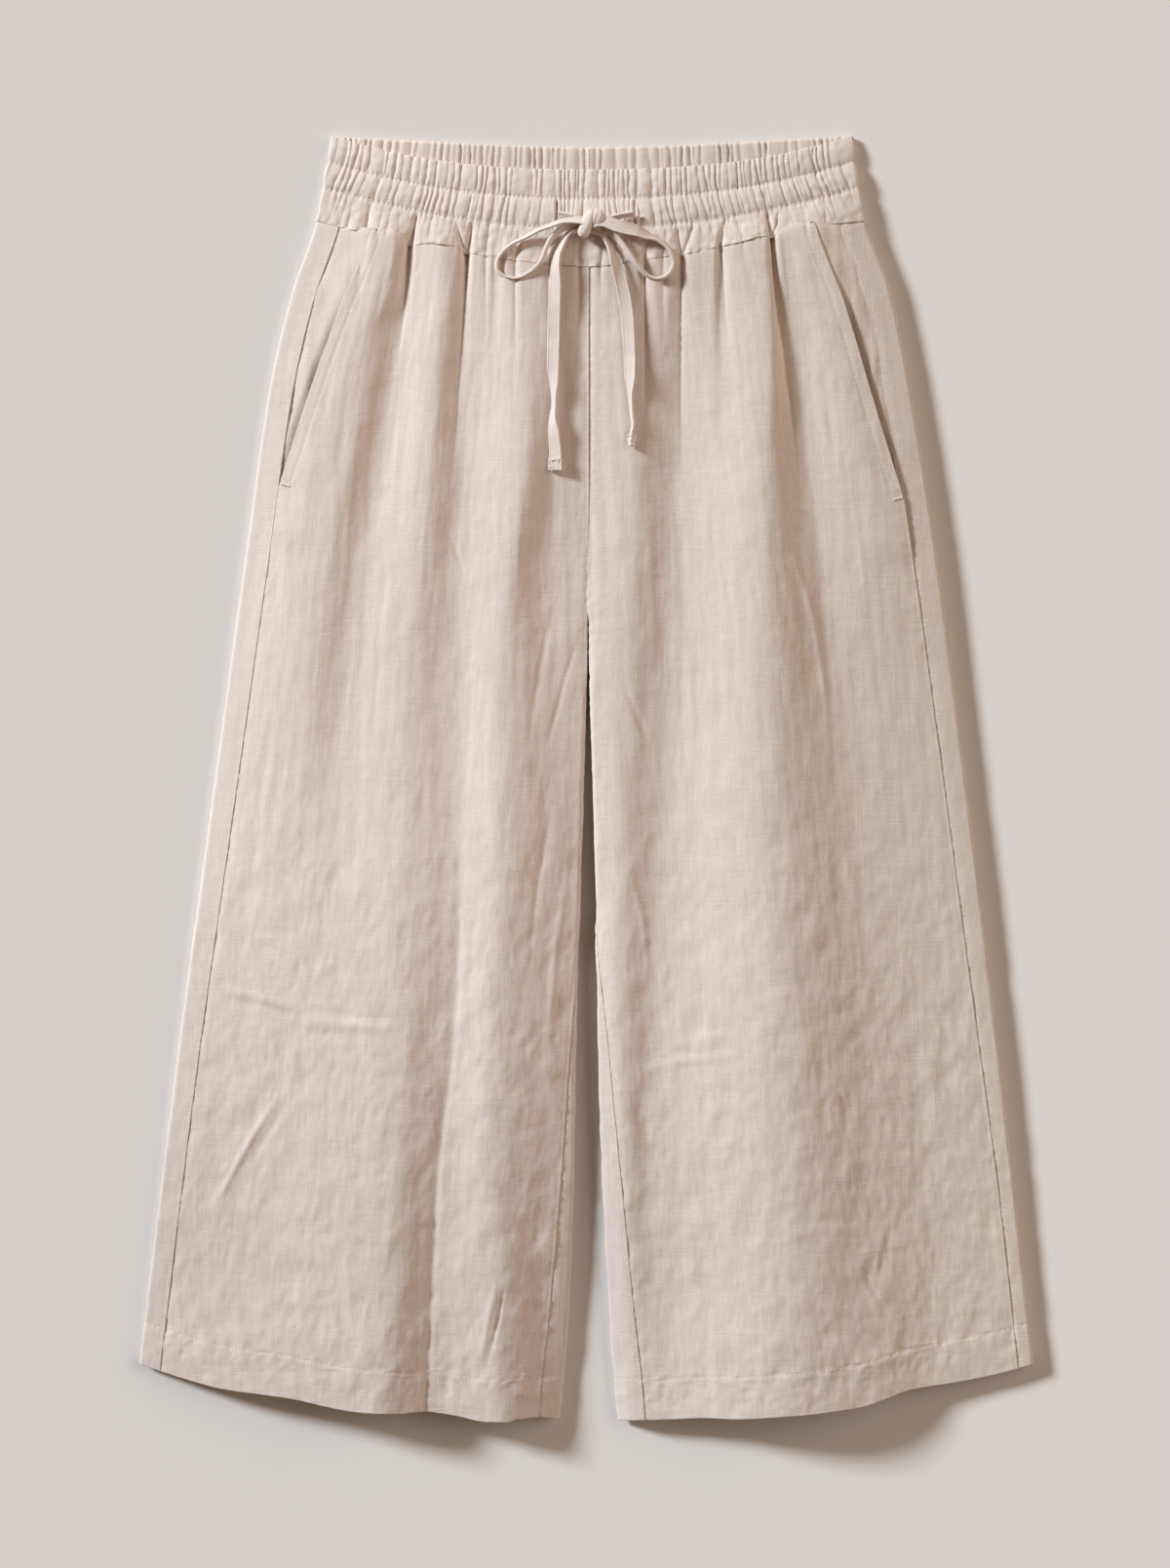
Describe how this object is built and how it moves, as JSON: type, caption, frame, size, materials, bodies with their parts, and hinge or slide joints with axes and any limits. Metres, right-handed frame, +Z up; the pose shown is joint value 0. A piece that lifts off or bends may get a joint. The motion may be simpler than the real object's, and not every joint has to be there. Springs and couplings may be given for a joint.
{
  "type": "wide-leg drawstring bermuda shorts",
  "caption": "Wide-leg linen bermuda shorts laid flat on their back, with a gathered waistband, slant pockets and a flat tape tied in a bow.",
  "frame": {"origin": "centre of the garment's outline, on the surface it lies on", "axes": "+Z up from the surface to the garment's front, +Y towards the waist, +X towards the wearer's left leg"},
  "size_m": [0.5713, 0.822, 0.0307],
  "materials": {
    "linen": "plain-weave linen with slubs and soft wrinkles, matt",
    "tape": "flat linen tape, matt"
  },
  "bodies": {
    "root": {"front_right": "linen", "front_left": "linen", "back_right": "linen", "back_left": "linen", "pocket_facing_right": "linen", "pocket_facing_left": "linen", "waistband": "linen", "tape_stub_right": "tape", "tape_stub_left": "tape", "tape_loop_right": "tape", "tape_loop_left": "tape", "tape_tail_right": "tape", "tape_tail_left": "tape", "tape_knot": "tape"}
  },
  "joints": []
}
